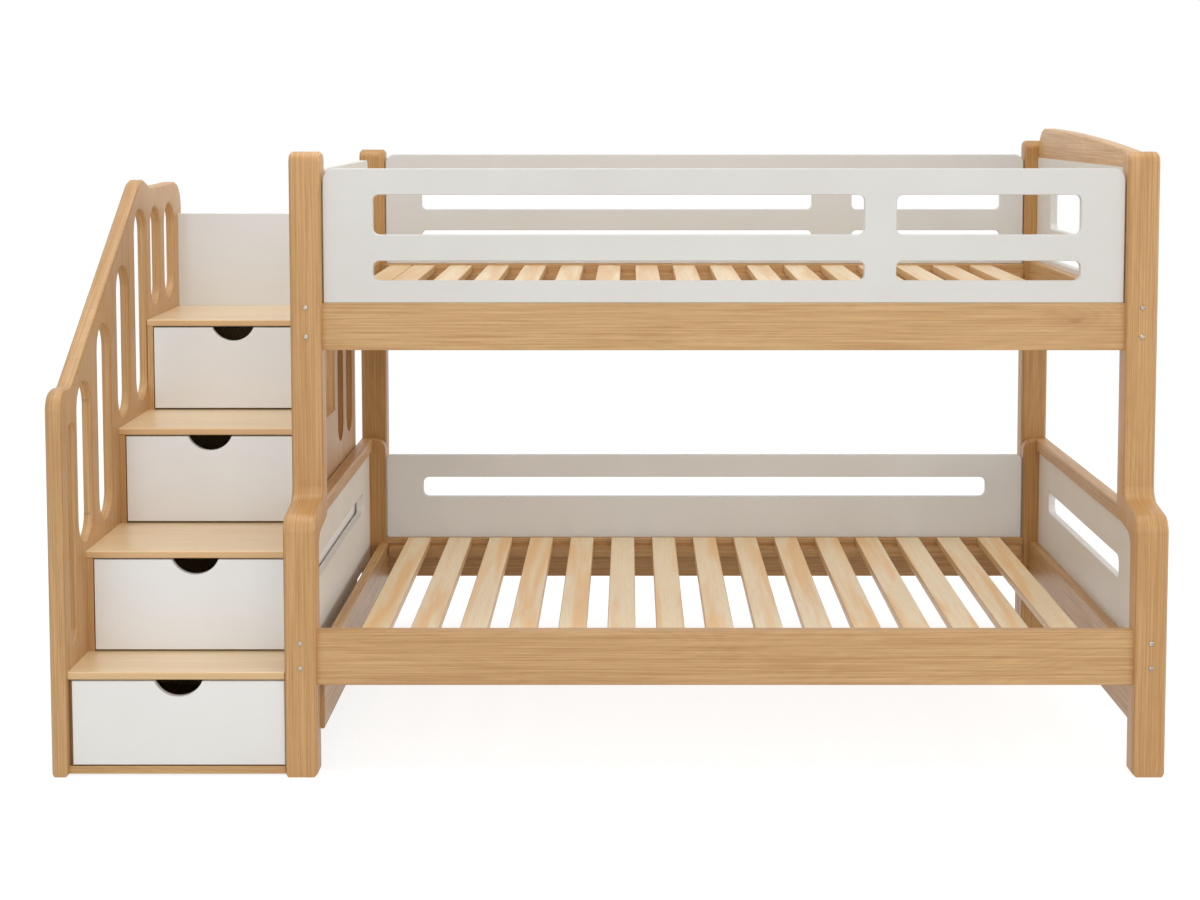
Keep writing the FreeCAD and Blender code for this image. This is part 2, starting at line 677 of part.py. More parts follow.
def stair_railing():
    """The outer board: steps up in one sweep, crests, dips and ends in a rounded corner."""
    name = "stair_railing"
    profile = (
        ("0", "0"), ("0", "railing_front_high"), ("railing_knee", "railing_knee_high"),
        ("railing_crest", "railing_crest_high"), ("railing_dip", "railing_dip_high"),
        ("railing_rear", "railing_top"), ("railing_rear", "0"),
    )
    slots = [box_loop(*map(str, slot)) for slot in RAILING_SLOTS]
    board = slab(name, "YZ", RAILING_OUT, RAILING_IN, profile, *slots)
    radii = ("railing_front_round", "railing_knee_round", "railing_crest_round",
             "railing_dip_round", "railing_rear_round")
    for number, radius in enumerate(radii, start=1):
        round_corners(board, "%s_bend_%d" % (name, number), "YZ", radius, (profile[number],))
    for number, (slot, loop) in enumerate(zip(RAILING_SLOTS, slots), start=1):
        round_corners(board, "%s_slot_%d" % (name, number), "YZ", slot_radius(*slot[:2]), loop)
    recess = (
        ("railing_rim", "railing_recess_low"), ("railing_rim", "railing_front_high - railing_rim"),
        ("railing_knee + railing_rim / 2", "railing_knee_high - railing_rim"),
        ("railing_crest", "railing_crest_high - railing_crest_rim"),
        ("railing_dip", "railing_dip_high - railing_rim"),
        ("railing_rear - railing_rim", "railing_top - railing_rim"),
        ("railing_rear - railing_rim", "railing_recess_low"),
    )
    cut(board, name + "_recess", "YZ", RAILING_OUT, "%s - railing_web" % RAILING_IN, recess)
    ease_rims(board, name + "_eased", "YZ", "railing_ease", RAILING_OUT, RAILING_IN)


def slot_radius(front, rear):
    """The ends of the upright slots are very nearly half-round."""
    return "%g * (%g - %g) / 2" % (SLOT_FULLNESS, rear, front)


def stepped_outline(fronts, tops, rear, foot="0"):
    """Stairs in side view: each step has its own front and top, all share one rear edge."""
    points = [(fronts[0], foot)]
    for index, front in enumerate(fronts):
        points.append((front, tops[index]))
        if index + 1 < len(fronts):
            points.append((fronts[index + 1], tops[index]))
    points.append((rear, tops[-1]))
    points.append((rear, foot))
    return tuple(points)


def side_fronts(behind_second):
    """Front edges of a side board: behind the first drawer front, flush with the upper ones."""
    first = "%s + front_thick + overlay_gap" % drawer_face(0)
    second = drawer_face(1)
    if behind_second:
        second = "%s + front_thick + overlay_gap" % second
    return [first, second, drawer_face(2), drawer_face(3)]


def cabinet_sides():
    under = ["%s - tread_thick" % tread_top(number) for number in (1, 2, 3, 4)]
    flush = under[:2] + [tread_top(3), tread_top(4)]
    slab("cabinet_side_left", "YZ", RAILING_IN, CABINET_LEFT,
         stepped_outline(side_fronts(False), under, "stair_rear"))
    slab("cabinet_side_right", "YZ", CABINET_RIGHT, BED_BOARD_LEFT,
         stepped_outline(side_fronts(True), flush, "stair_rear"))

    fronts = side_fronts(True)
    slab("stair_bed_side_panel", "YZ", BED_BOARD_LEFT, STAIR_RIGHT,
         stepped_outline(fronts[:3], under[:2] + ["bed_board_joint"], "stair_rear"))

    name = "stair_bed_side_board"
    outline = stepped_outline(fronts[2:], flush[2:], "stair_rear", foot="bed_board_joint")
    board = slab(name, "YZ", BED_BOARD_LEFT, STAIR_RIGHT, outline)
    ease_rims(board, name + "_eased", "YZ", "wood_ease", STAIR_RIGHT)
    # upright slots below the top step, in line with the two rearmost slots of the railing
    slot_low = "bed_board_joint + bed_board_slot_margin"
    slot_high = "%s - bed_board_slot_margin" % tread_top(4)
    for number, slot in enumerate(RAILING_SLOTS[-2:], start=1):
        front, rear = slot[:2]
        loop = box_loop(str(front), str(rear), slot_low, slot_high)
        tag = "%s_slot_%d" % (name, number)
        cut(board, tag, "YZ", BED_BOARD_LEFT, STAIR_RIGHT, loop)
        round_corners(board, tag + "_ends", "YZ", slot_radius(front, rear), loop)


def tread(index):
    """A step and the shelf behind it, notched where the next step's side boards stand."""
    name = "tread_%d" % (index + 1)
    front = TREAD_FRONTS[index]
    top = tread_top(index + 1)
    right = "%s - overlay_gap" % LEFT_POST_OUT if index < 2 else CABINET_RIGHT
    if index == 3:
        outline = box_loop(RAILING_IN, right, front, "stair_rear")
    else:
        left_notch = side_fronts(False)[index + 1]
        right_notch = side_fronts(True)[index + 1]
        outline = [(RAILING_IN, front), (right, front)]
        if index < 2:
            outline += [(right, right_notch), (CABINET_RIGHT, right_notch)]
        outline += [(CABINET_RIGHT, "stair_rear"), (CABINET_LEFT, "stair_rear"),
                    (CABINET_LEFT, left_notch), (RAILING_IN, left_notch)]
    board = slab(name, "XY", "%s - tread_thick" % top, top, outline)
    front_y = value(front)
    ease_along(board, name + "_nosing", 0, "tread_ease",
               accept=lambda middle: abs(middle.y - front_y) < TOLERANCE, kind="Fillet")


def cabinet_carcass():
    back = "stair_rear + stair_back_thick"
    name = "stair_back_panel"
    panel = slab(name, "XZ", "stair_rear", back,
                 box_loop(RAILING_IN, STAIR_RIGHT, "0", "stair_back_high"))
    ease_along(panel, name + "_eased", 0, "panel_ease")
    strip_front = drawer_face(0)
    slab("stair_base_strip", "XZ", strip_front, "%s + base_thick" % strip_front,
         box_loop(RAILING_IN, "%s - overlay_gap" % LEFT_POST_OUT, "base_low", "base_high"))
    slab("cabinet_bottom", "XY", "base_low", "base_high",
         box_loop(CABINET_LEFT, CABINET_RIGHT, side_fronts(False)[0], "stair_rear"))


# ---------------------------------------------------------------------------- drawers


def drawer_levels(index):
    low = "first_drawer_low" if index == 0 else "%s + drawer_under" % tread_top(index)
    high = "%s - tread_thick - drawer_over" % tread_top(index + 1)
    return low, high


def drawer_sides_of_front(index):
    """The first two drawer fronts lap over the boards beside them, the others sit between them."""
    lap_right = "%s - overlay_gap" % LEFT_POST_OUT
    if index == 0:
        return "%s + first_drawer_inset" % RAILING_IN, lap_right
    left = "%s + inset_gap" % CABINET_LEFT
    if index == 1:
        return left, lap_right
    return left, "%s - inset_gap" % CABINET_RIGHT


def drawer(index):
    """Builds one drawer and returns the two fixed channels that it runs in."""
    number = index + 1
    low, high = drawer_levels(index)
    face = drawer_face(index)
    behind = "%s + front_thick" % face
    left, right = drawer_sides_of_front(index)
    middle = "(%s + (%s)) / 2" % (left, right)

    name = "drawer_%d_front" % number
    front = slab(name, "XZ", face, behind, box_loop(left, right, low, high))
    radius = "(notch_wide * notch_wide / 4 + notch_deep * notch_deep) / (2 * notch_deep)"
    cut(front, name + "_notch", "XZ", face, behind,
        ("circle", middle, "%s + %s - notch_deep" % (high, radius), radius))
    ease_rims(front, name + "_eased", "XZ", "panel_ease", face)

    box_left = "%s + slide_room" % CABINET_LEFT
    box_right = "%s - slide_room" % CABINET_RIGHT
    box_low = "%s + box_under" % low
    box_high = "%s - box_over" % high
    box_back = "%s + %s" % (behind, BOX_LENGTHS[index])
    drawer_walls(number, box_left, box_right, behind, box_back, box_low, box_high)
    return drawer_slides(number, box_left, box_right, behind, box_back, low)


def drawer_walls(number, left, right, front, back, low, high):
    """Two sides and a back round a thin bottom, which is let into a groove."""
    groove_low = "%s + groove_up" % low
    groove_high = "%s + bottom_thick" % groove_low
    grooved = (
        (left, low), ("%s + box_thick" % left, low), ("%s + box_thick" % left, groove_low),
        ("%s + box_thick - groove_deep" % left, groove_low),
        ("%s + box_thick - groove_deep" % left, groove_high),
        ("%s + box_thick" % left, groove_high), ("%s + box_thick" % left, high), (left, high),
    )
    mirrored = tuple(("%s + (%s) - (%s)" % (left, right, x), z) for x, z in grooved)
    slab("drawer_%d_sides" % number, "XZ", front, back, grooved, mirrored)
    slab("drawer_%d_back" % number, "XZ", "%s - box_thick" % back, back,
         box_loop("%s + box_thick" % left, "%s - box_thick" % right, groove_high, high))
    slab("drawer_%d_bottom" % number, "XY", groove_low, groove_high,
         box_loop("%s + box_thick - groove_deep" % left, "%s - box_thick + groove_deep" % right,
                  front, back))


def drawer_slides(number, left, right, front, back, low):
    """Fits the moving bars to the drawer's sides and returns the channels on the cabinet."""
    middle = "%s + slide_up" % low
    bar_half = "channel_tall / 2 - channel_wall - bar_play"
    bar_reach = "slide_room - channel_wall - bar_play"
    bars = (
        block("drawer_%d_bar_left" % number, "%s - (%s)" % (left, bar_reach), left, front, back,
              "%s - (%s)" % (middle, bar_half), "%s + %s" % (middle, bar_half)),
        block("drawer_%d_bar_right" % number, right, "%s + %s" % (right, bar_reach), front, back,
              "%s - (%s)" % (middle, bar_half), "%s + %s" % (middle, bar_half)),
    )
    group("drawer_%d_slides" % number, bars)
    return [slide_channel("drawer_%d_channel_%s" % (number, tag), wall, sign, front, back, middle)
            for tag, wall, sign in (("left", CABINET_LEFT, 1), ("right", CABINET_RIGHT, -1))]


def slide_channel(tag, wall, sign, front, back, middle):
    """A steel channel, open towards the drawer, screwed to the cabinet's side."""
    low = "%s - channel_tall / 2" % middle
    high = "%s + channel_tall / 2" % middle
    inside = "%s + %d * channel_wall" % (wall, sign)
    lip = "%s + %d * channel_deep" % (wall, sign)
    above_low = "%s + channel_wall" % low
    below_high = "%s - channel_wall" % high
    outline = (
        (wall, low), (lip, low), (lip, above_low), (inside, above_low),
        (inside, below_high), (lip, below_high), (lip, high), (wall, high),
    )
    return member(tag, "XZ", "%s + overlay_gap" % front, back, outline)


# ---------------------------------------------------------------------------- build


def build_bed():
    for side in SIDES:
        front_post(*side)
        rear_post(*side)
        rear_leg(*side)
        lower_end(*side)
        upper_end_rail(*side)
    long_rail("lower_front_rail", "rail_inset", "lower_rail_low", "lower_rail_high")
    long_rail("upper_front_rail", "set_back + rail_inset", "upper_rail_low", "upper_rail_high")
    long_rail("upper_rear_rail", "upper_back_rail_front", "upper_rail_low", "upper_rail_high")
    long_rail("lower_rear_rail", BACK_RAIL_FRONT, "lower_back_rail_low", "lower_back_rail_high")
    slat_ledgers()
    span = "(lower_slat_pitch * (lower_slat_count - 1) + lower_slat_wide)"
    slat_row("lower_slats", "rail_inset + rail_thick + slat_gap",
             "%s - slat_gap" % BACK_RAIL_FRONT, "lower_slat_top", "lower_slat_wide",
             "lower_slat_pitch", "lower_slat_count",
             "%s + (rail_long - %s) / 2" % (LEFT_POST_IN, span))
    slat_row("upper_slats", "set_back + rail_inset + rail_thick + slat_gap",
             "upper_back_rail_front - slat_gap", "upper_slat_top", "upper_slat_wide",
             "upper_slat_pitch", "upper_slat_count", "upper_slat_start", "upper_slat_first")
    lower_back_panel()
    long_guard("upper_front_guard", "guard_front", "guard_high",
               (("front_slot_left", "front_slot_middle_left"),
                ("front_slot_middle_right", "front_slot_right")))
    long_guard("upper_rear_guard", "rear_guard_front", "rear_guard_high",
               (("rear_slot_left", "rear_slot_middle_left"),
                ("rear_slot_middle_right", "rear_slot_right")))
    upper_end_guard_left()
    upper_end_right()


def build_stairs():
    stair_railing()
    cabinet_sides()
    for index in range(len(TREAD_FRONTS)):
        tread(index)
    cabinet_carcass()
    channels = []
    for index in range(len(BOX_LENGTHS)):
        channels += drawer(index)
    group("drawer_channels", channels)


build_bed()
build_stairs()
doc.recompute()

# ---------------------------------------------------------------------------- checks and files

for thing in doc.Objects:
    if "Invalid" in thing.State or "Error" in thing.State:
        raise RuntimeError("%s is in state %s" % (thing.Label, thing.State))

os.makedirs("parts", exist_ok=True)
for node in nodes:
    if node.Shape.isNull() or not node.Shape.isValid():
        raise RuntimeError("%s has no valid shape" % node.Label)
    node.Shape.exportStep("parts/%s.step" % node.Label)
    print("%-26s %d solid(s), %.1f litres" % (node.Label, len(node.Shape.Solids),
                                              node.Shape.Volume / 1e6))
print(len(nodes), "parts")
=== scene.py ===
import math
from dataclasses import dataclass

import bpy
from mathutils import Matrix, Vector


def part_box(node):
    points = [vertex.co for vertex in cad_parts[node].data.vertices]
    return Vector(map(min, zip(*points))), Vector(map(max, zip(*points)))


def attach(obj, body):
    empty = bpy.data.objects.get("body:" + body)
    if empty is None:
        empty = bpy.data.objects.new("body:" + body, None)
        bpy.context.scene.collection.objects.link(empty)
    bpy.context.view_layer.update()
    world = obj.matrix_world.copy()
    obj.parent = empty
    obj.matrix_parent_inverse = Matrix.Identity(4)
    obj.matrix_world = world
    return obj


# Looks of the bunk bed: materials, soft edges, bolt heads, studio light and the photo's camera.


def write_size():
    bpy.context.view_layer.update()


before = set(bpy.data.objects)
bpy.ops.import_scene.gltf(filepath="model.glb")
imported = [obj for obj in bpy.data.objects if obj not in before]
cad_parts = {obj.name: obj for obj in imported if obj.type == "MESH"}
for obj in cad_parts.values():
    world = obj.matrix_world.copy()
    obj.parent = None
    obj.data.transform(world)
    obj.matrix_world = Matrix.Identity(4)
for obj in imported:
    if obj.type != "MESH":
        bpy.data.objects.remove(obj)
write_size()

# ---------------------------------------------------------------------------- node helpers

ALONG = {"x": 0, "y": 1, "z": 2}


def colour(red, green, blue):
    """A colour given as 0 to 255 screen values, turned into the linear values shaders use."""
    linear = []
    for channel in (red, green, blue):
        level = channel / 255
        linear.append(level / 12.92 if level <= 0.04045 else ((level + 0.055) / 1.055) ** 2.4)
    return (*linear, 1.0)


def darker(tint, shares):
    """A colour with each channel cut to its share."""
    return tuple(channel * share for channel, share in zip(tint, shares)) + (1.0,)


def socket(sockets, identifier):
    """The socket with this identifier: a mix node has several that share a name."""
    return next(one for one in sockets if one.identifier == identifier)


class Shader:
    """A material's node tree with short ways of adding and joining nodes."""

    def __init__(self, name):
        self.material = bpy.data.materials.new(name)
        self.material.use_nodes = True
        self.tree = self.material.node_tree
        self.surface = self.tree.nodes["Principled BSDF"]
        self.place = self.tree.nodes.new("ShaderNodeTexCoord").outputs["Object"]

    def node(self, kind, **settings):
        made = self.tree.nodes.new(kind)
        for key, setting in settings.items():
            setattr(made, key, setting)
        return made

    def join(self, output, entry):
        self.tree.links.new(output, entry)

    def feed(self, entry, source):
        """Gives an entry a fixed value or joins an output to it."""
        if isinstance(source, (int, float, tuple)):
            entry.default_value = source
        else:
            self.join(source, entry)

    def stretched(self, scale, offset=(0, 0, 0)):
        mapping = self.node("ShaderNodeMapping")
        self.join(self.place, mapping.inputs["Vector"])
        mapping.inputs["Scale"].default_value = scale
        mapping.inputs["Location"].default_value = offset
        return mapping.outputs["Vector"]

    def noise(self, vector, detail, rough=0.55, twist=0.0):
        noise = self.node("ShaderNodeTexNoise")
        self.join(vector, noise.inputs["Vector"])
        noise.inputs["Scale"].default_value = 1.0
        noise.inputs["Detail"].default_value = detail
        noise.inputs["Roughness"].default_value = rough
        noise.inputs["Distortion"].default_value = twist
        return noise.outputs["Fac"]

    def spread(self, output, low, high, to_low=0.0, to_high=1.0):
        """Maps the range low..high of a value onto to_low..to_high, held within those ends."""
        mapped = self.node("ShaderNodeMapRange", clamp=True)
        self.join(output, mapped.inputs["Value"])
        mapped.inputs["From Min"].default_value = low
        mapped.inputs["From Max"].default_value = high
        mapped.inputs["To Min"].default_value = to_low
        mapped.inputs["To Max"].default_value = to_high
        return mapped.outputs["Result"]

    def maths(self, operation, *sources):
        made = self.node("ShaderNodeMath", operation=operation)
        for entry, source in zip(made.inputs, sources):
            self.feed(entry, source)
        return made.outputs["Value"]

    def mix(self, factor, first, second):
        """Runs from the first colour to the second one as the factor runs from 0 to 1."""
        made = self.node("ShaderNodeMix", data_type="RGBA", blend_type="MIX")
        for key, source in (("Factor_Float", factor), ("A_Color", first), ("B_Color", second)):
            self.feed(socket(made.inputs, key), source)
        return socket(made.outputs, "Result_Color")

    def blend(self, factor, first, second):
        """Runs from the first value to the second one as the factor runs from 0 to 1."""
        made = self.node("ShaderNodeMix", data_type="FLOAT")
        for key, source in (("Factor_Float", factor), ("A_Float", first), ("B_Float", second)):
            self.feed(socket(made.inputs, key), source)
        return socket(made.outputs, "Result_Float")

    def bump(self, height, strength, distance):
        made = self.node("ShaderNodeBump")
        self.join(height, made.inputs["Height"])
        made.inputs["Strength"].default_value = strength
        made.inputs["Distance"].default_value = distance
        self.join(made.outputs["Normal"], self.surface.inputs["Normal"])


# ---------------------------------------------------------------------------- wood

# how fast each pattern changes along the grain and across it, per metre
RING_PACE = (0.9, 7.5)
STREAK_PACE = (3.0, 270.0)
PORE_PACE = (22.0, 900.0)
DRIFT_PACE = (1.1, 4.0)
FLAME_PACE = (1.3, 22.0)
KNOT_PACE = (1.6, 5.2)
# a pattern's low and high values, and what they are mapped onto
STREAK_RANGE = (0.36, 0.64, 0.0, 0.90)
DRIFT_RANGE = (0.35, 0.68, 0.0, 0.22)
PORE_RANGE = (0.58, 0.72, 0.0, 0.36)
FLAME_RANGE = (0.44, 0.62, 0.0, 1.0)
VARNISH_ROUGHNESS = (0.3, 0.7, 0.38, 0.52)
STAVE_TONES = (0.0, 1.0, 0.0, 0.30)
KNOT_HEART = (0.028, 0.060, 1.0, 0.0)
KNOT_HALO = (0.05, 0.17, 0.35, 0.0)
EDGE_TURN = (0.55, 0.85, 1.0, 0.0)

RINGS_PER_STEP = 150.0
RING_SHARPNESS = 1.7
BODY_CONTRAST = 0.72
PORE_DARK = (0.55, 0.55, 0.55)
KNOT_DARK = (0.48, 0.33, 0.22)
KNOT_SHARE = 0.75
STAVE_AXIS = "y"
STAVE_START = 10.0
STAVE_LINE = 0.012
STAVE_LINE_DARK = (0.6, 0.6, 0.6)
STAVE_LINE_SHARE = 0.35
# painted shade: how far the narrow faces go to the darker edge colour
SIDE_SHADE_SHARE = 0.9
SHIFT_SHARES = (1.0, 0.7, 1.3)  # how a kind's offset moves its pattern along x, y and z
STREAK_HEIGHT = 0.6
WOOD_BUMP = (0.22, 0.0006)
COAT_ROUGHNESS = 0.30


@dataclass(frozen=True)
class Wood:
    """What one kind of timber or board looks like."""

    grain: str  # the axis that the grain runs along
    pale: tuple
    deep: tuple
    offset: float  # moves the pattern, so that two kinds don't look cut from one board
    thin: str = None  # the axis a board is thin in: on its edges the lines follow the outline
    painted_side_shade: tuple = None  # painted shade: the darker colour that those narrow faces go to
    flame: tuple = None  # a warmer tone, in one or two broad bands along each board
    stave: float = 0.0  # width in metres of the strips that a board is glued up from
    ring_strength: float = 0.13
    coat: float = 0.15
    knots: bool = True

    @property
    def shift(self):
        return tuple(self.offset * share for share in SHIFT_SHARES)


def paced(axis, on_axis, off_axis):
    """A scale with one value on the named axis and another one on the other two."""
    scale = [off_axis, off_axis, off_axis]
    scale[ALONG[axis]] = on_axis
    return tuple(scale)


def wood(name, kind):
    """Varnished softwood: rings, fine streaks, pores and tone that drifts by board."""
    made = Shader(name)
    edge = edge_faces(made, kind.thin) if kind.thin else None

    def lines(pace, **settings):
        along, across = pace
        on_faces = made.noise(made.stretched(paced(kind.grain, along, across), kind.shift),
                              **settings)
        if not kind.thin:
            return on_faces
        on_edges = made.noise(made.stretched(paced(kind.thin, across, along), kind.shift),
                              **settings)
        return made.blend(edge, on_faces, on_edges)

    slow = lines(RING_PACE, detail=2.0, rough=0.5, twist=0.3)
    rings = made.maths("SINE", made.maths("MULTIPLY", slow, RINGS_PER_STEP))
    rings = made.maths("POWER", made.spread(rings, -1.0, 1.0), RING_SHARPNESS)
    streaks = lines(STREAK_PACE, detail=5.0, rough=0.62)
    pores = lines(PORE_PACE, detail=3.0, rough=0.6)
    drift = made.noise(made.stretched(paced(kind.grain, *DRIFT_PACE), kind.shift), detail=2.0)

    body_tone = made.maths("MULTIPLY", rings, kind.ring_strength)
    body_tone = made.maths("ADD", body_tone, made.spread(streaks, *STREAK_RANGE))
    body_tone = made.maths("MULTIPLY", body_tone, BODY_CONTRAST)
    tint = made.mix(body_tone, kind.pale, kind.deep)
    tint = made.mix(made.spread(drift, *DRIFT_RANGE), tint, kind.deep)
    tint = made.mix(made.spread(pores, *PORE_RANGE), tint, darker(kind.deep, PORE_DARK))
    if kind.flame:
        bands = lines(FLAME_PACE, detail=2.0, rough=0.45, twist=0.5)
        tint = made.mix(made.spread(bands, *FLAME_RANGE), tint, kind.flame)
    if kind.stave:
        tint = add_staves(made, tint, kind)
    if kind.knots:
        tint = add_knots(made, tint, kind)
    # painted shade: the narrow faces of a board are tinted darker than its broad faces
    if kind.painted_side_shade:
        tint = made.mix(made.maths("MULTIPLY", edge, SIDE_SHADE_SHARE), tint, kind.painted_side_shade)
    made.join(tint, made.surface.inputs["Base Color"])
    made.join(made.spread(streaks, *VARNISH_ROUGHNESS), made.surface.inputs["Roughness"])
    made.surface.inputs["Coat Weight"].default_value = kind.coat
    made.surface.inputs["Coat Roughness"].default_value = COAT_ROUGHNESS
    height = made.maths("ADD", made.maths("MULTIPLY", streaks, STREAK_HEIGHT), pores)
    made.bump(height, *WOOD_BUMP)
    return made.material


def edge_faces(made, thin):
    """1 on the faces that look across a board's thin axis and 0 on its two broad sides."""
    parts = made.node("ShaderNodeSeparateXYZ")
    made.join(made.node("ShaderNodeTexCoord").outputs["Normal"], parts.inputs["Vector"])
    facing = made.maths("ABSOLUTE", parts.outputs[ALONG[thin]])
    return made.spread(facing, *EDGE_TURN)


def add_staves(made, tint, kind):
    """Boards glued up from strips: each strip has its own tone and a thin line beside it."""
    parts = made.node("ShaderNodeSeparateXYZ")
    made.join(made.place, parts.inputs["Vector"])
    place = made.maths("ADD", parts.outputs[ALONG[STAVE_AXIS]], kind.offset + STAVE_START)
    counted = made.maths("DIVIDE", place, kind.stave)
    chance = made.node("ShaderNodeTexWhiteNoise", noise_dimensions="1D")
    made.join(made.maths("FLOOR", counted), chance.inputs["W"])
    tint = made.mix(made.spread(chance.outputs["Value"], *STAVE_TONES), tint, kind.deep)
    line = made.maths("LESS_THAN", made.maths("FRACT", counted), STAVE_LINE)
    return made.mix(made.maths("MULTIPLY", line, STAVE_LINE_SHARE), tint,
                    darker(kind.deep, STAVE_LINE_DARK))


def add_knots(made, tint, kind):
    """A few small knots, each a dark heart in a warm halo drawn out along the grain."""
    cells = made.node("ShaderNodeTexVoronoi", feature="F1")
    made.join(made.stretched(paced(kind.grain, *KNOT_PACE), kind.shift), cells.inputs["Vector"])
    cells.inputs["Scale"].default_value = 1.0
    heart = made.spread(cells.outputs["Distance"], *KNOT_HEART)
    tint = made.mix(made.spread(cells.outputs["Distance"], *KNOT_HALO), tint, kind.deep)
    return made.mix(made.maths("MULTIPLY", heart, KNOT_SHARE), tint,
                    darker(kind.deep, KNOT_DARK))


# ---------------------------------------------------------------------------- paint and metal

CLOUD_SCALE = (3.0, 3.0, 3.0)
ROLLER_SCALE = (420.0, 420.0, 420.0)
SPECK_SCALE = (60.0, 60.0, 60.0)
CLOUD_RANGE = (0.35, 0.7, 0.0, 0.6)
SPECK_RANGE = (0.62, 0.75, 0.0, 0.25)
PAINT_ROUGHNESS = (0.3, 0.7, 0.40, 0.52)
PAINT_BUMP = (0.10, 0.0004)

BRUSH_SCALE = (500.0, 90.0, 500.0)
STAIN_SCALE = (30.0, 30.0, 30.0)
STAIN_RANGE = (0.4, 0.7, 0.0, 0.6)
METAL_ROUGHNESS = (0.3, 0.7, 0.24, 0.40)
METAL_BUMP = (0.06, 0.0002)


def paint(name, tone, shade):
    """Off-white satin paint on board, with a very faint mottle and the texture of a roller."""
    made = Shader(name)
    cloud = made.noise(made.stretched(CLOUD_SCALE), detail=3.0)
    skin = made.noise(made.stretched(ROLLER_SCALE), detail=2.0)
    specks = made.noise(made.stretched(SPECK_SCALE), detail=4.0, rough=0.7)
    tint = made.mix(made.spread(cloud, *CLOUD_RANGE), tone, shade)
    tint = made.mix(made.spread(specks, *SPECK_RANGE), tint, shade)
    made.join(tint, made.surface.inputs["Base Color"])
    made.join(made.spread(cloud, *PAINT_ROUGHNESS), made.surface.inputs["Roughness"])
    made.bump(skin, *PAINT_BUMP)
    return made.material


def metal(name, tone, worn):
    """Brushed metal with a cloudy stain."""
    made = Shader(name)
    brushed = made.noise(made.stretched(BRUSH_SCALE), detail=3.0)
    stain = made.noise(made.stretched(STAIN_SCALE), detail=3.0)
    made.join(made.mix(made.spread(stain, *STAIN_RANGE), tone, worn),
              made.surface.inputs["Base Color"])
    made.join(made.spread(brushed, *METAL_ROUGHNESS), made.surface.inputs["Roughness"])
    made.surface.inputs["Metallic"].default_value = 1.0
    made.bump(brushed, *METAL_BUMP)
    return made.material


# ---------------------------------------------------------------------------- finishes

HONEY = colour(213, 173, 119)
HONEY_DEEP = colour(166, 118, 66)
POST_HONEY = colour(212, 168, 111)
POST_DEEP = colour(167, 116, 60)
# painted shade: the rear posts and legs get a darker copy of the post honey
REAR_SHADED_HONEY = colour(198, 153, 90)
REAR_SHADED_DEEP = colour(146, 98, 48)
CREAM = colour(244, 221, 181)
CREAM_DEEP = colour(214, 178, 130)
# painted light: the lower slats' colours are paler than the upper slats' to make up for the
# shade of the upper bunk over them
SLAT_PALE = colour(255, 243, 211)
SLAT_DEEP = colour(253, 225, 176)
SLAT_FLAME = colour(250, 205, 138)
TOP_SLAT_PALE = colour(240, 218, 180)
TOP_SLAT_DEEP = colour(222, 194, 152)
TOP_SLAT_FLAME = colour(221, 182, 131)
BOX_PALE = colour(225, 196, 150)
BOX_DEEP = colour(196, 156, 104)

WOODS = {
    "timber_x": Wood("x", HONEY, HONEY_DEEP, 0.4),
    "timber_y": Wood("y", HONEY, HONEY_DEEP, 1.9, thin="x"),
    "timber_z": Wood("z", POST_HONEY, POST_DEEP, 3.1, thin="x"),
    # painted shade: a darker copy of timber_z for the rear posts and legs
    "rear_z_painted_shade": Wood("z", REAR_SHADED_HONEY, REAR_SHADED_DEEP, 4.6),
    "board_z": Wood("z", HONEY, HONEY_DEEP, 5.3, thin="x", stave=0.087),
    "step_x": Wood("x", CREAM, CREAM_DEEP, 7.7, thin="z", painted_side_shade=HONEY, stave=0.061,
                   coat=0.8),
    # painted light: the lower slats are a paler copy of top_slat_y
    "slat_y": Wood("y", SLAT_PALE, SLAT_DEEP, 9.2, thin="z", painted_side_shade=HONEY,
                   flame=SLAT_FLAME, ring_strength=0.40, coat=0.3, knots=False),
    "top_slat_y": Wood("y", TOP_SLAT_PALE, TOP_SLAT_DEEP, 13.3, thin="z", painted_side_shade=HONEY,
                       flame=TOP_SLAT_FLAME, ring_strength=0.40, coat=0.3, knots=False),
    "box_y": Wood("y", BOX_PALE, BOX_DEEP, 11.5, ring_strength=0.35),
}
# one white paint: off_white_paint is the base, and the others are copies of it with painted
# light and painted shade for how light falls on each part of the bed
PAINTS = {
    "off_white_paint": (colour(235, 234, 230), colour(229, 227, 222)),
    # painted shade: the guards and the right upper end panel are painted darker than the base
    # white
    "guard_painted_shade": (colour(219, 217, 212), colour(213, 210, 204)),
    # painted shade: the rear guard is painted darker than the base white
    "rear_guard_painted_shade": (colour(212, 212, 210), colour(206, 206, 203)),
    # painted light: the fronts of drawers 2 to 4 are painted brighter and cooler than the base
    # white, against their shade and the warm light bounced from the wood
    "drawer_painted_light": (colour(238, 240, 241), colour(232, 234, 234)),
    # painted light: the back panels are painted cooler than the base white to cancel the warm
    # light bounced onto them from the wood
    "back_panel_painted_cool": (colour(229, 232, 233), colour(223, 226, 226)),
    # painted light: the side panel behind the lower end panel's slot is painted near pure
    # white, so the slot looks lit
    "slot_painted_light": (colour(253, 253, 252), colour(250, 250, 249)),
}
METALS = {
    "nickel_steel": (colour(196, 196, 194), colour(160, 158, 152)),
    "bolt_steel": (colour(188, 180, 168), colour(116, 104, 92)),
}

